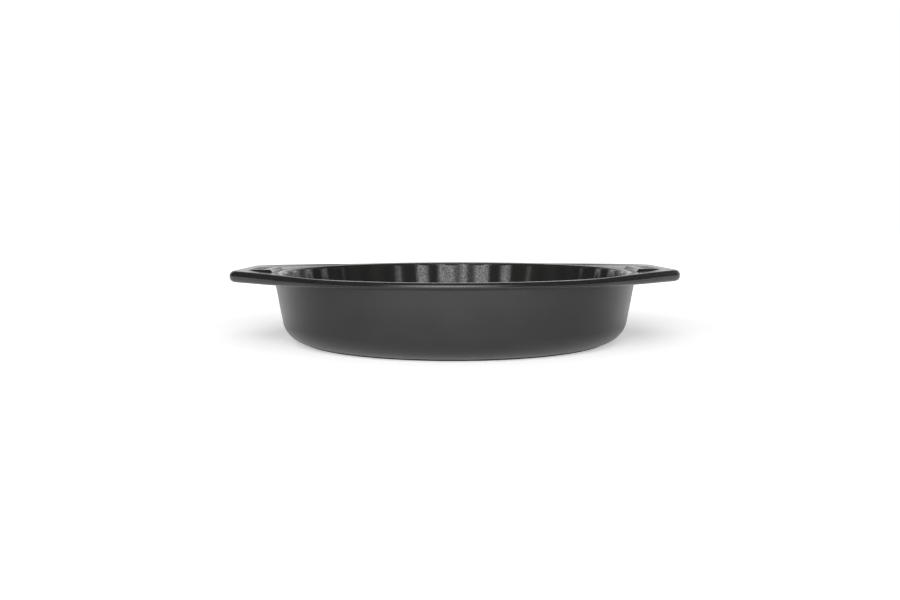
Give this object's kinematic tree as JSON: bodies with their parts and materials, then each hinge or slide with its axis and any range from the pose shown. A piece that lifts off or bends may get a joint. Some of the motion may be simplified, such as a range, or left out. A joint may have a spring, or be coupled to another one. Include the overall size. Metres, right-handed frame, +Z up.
{
  "type": "ceramic baking dish",
  "caption": "Round deep baking dish in black glazed stoneware: smooth outside, fluted inside, flat rim widening into two tab handles, unglazed foot ring.",
  "frame": {"origin": "centre of the foot ring's underside, on the surface that the dish stands on", "axes": "+Z up out of the dish, +X from the left handle to the right handle, +Y towards the back rim"},
  "size_m": [0.3598, 0.3162, 0.06],
  "materials": {
    "bare_clay": "unglazed stoneware, ground flat, matt",
    "body_glaze": "black glaze, satin outside and glossy inside",
    "rim_glaze": "black glaze, glossy"
  },
  "bodies": {
    "root": {"foot_ring": "bare_clay", "dish_floor": "body_glaze", "heel": "body_glaze", "fluted_wall": "body_glaze", "front_rim": "rim_glaze", "back_rim": "rim_glaze", "right_handle": "rim_glaze", "left_handle": "rim_glaze"}
  },
  "joints": []
}
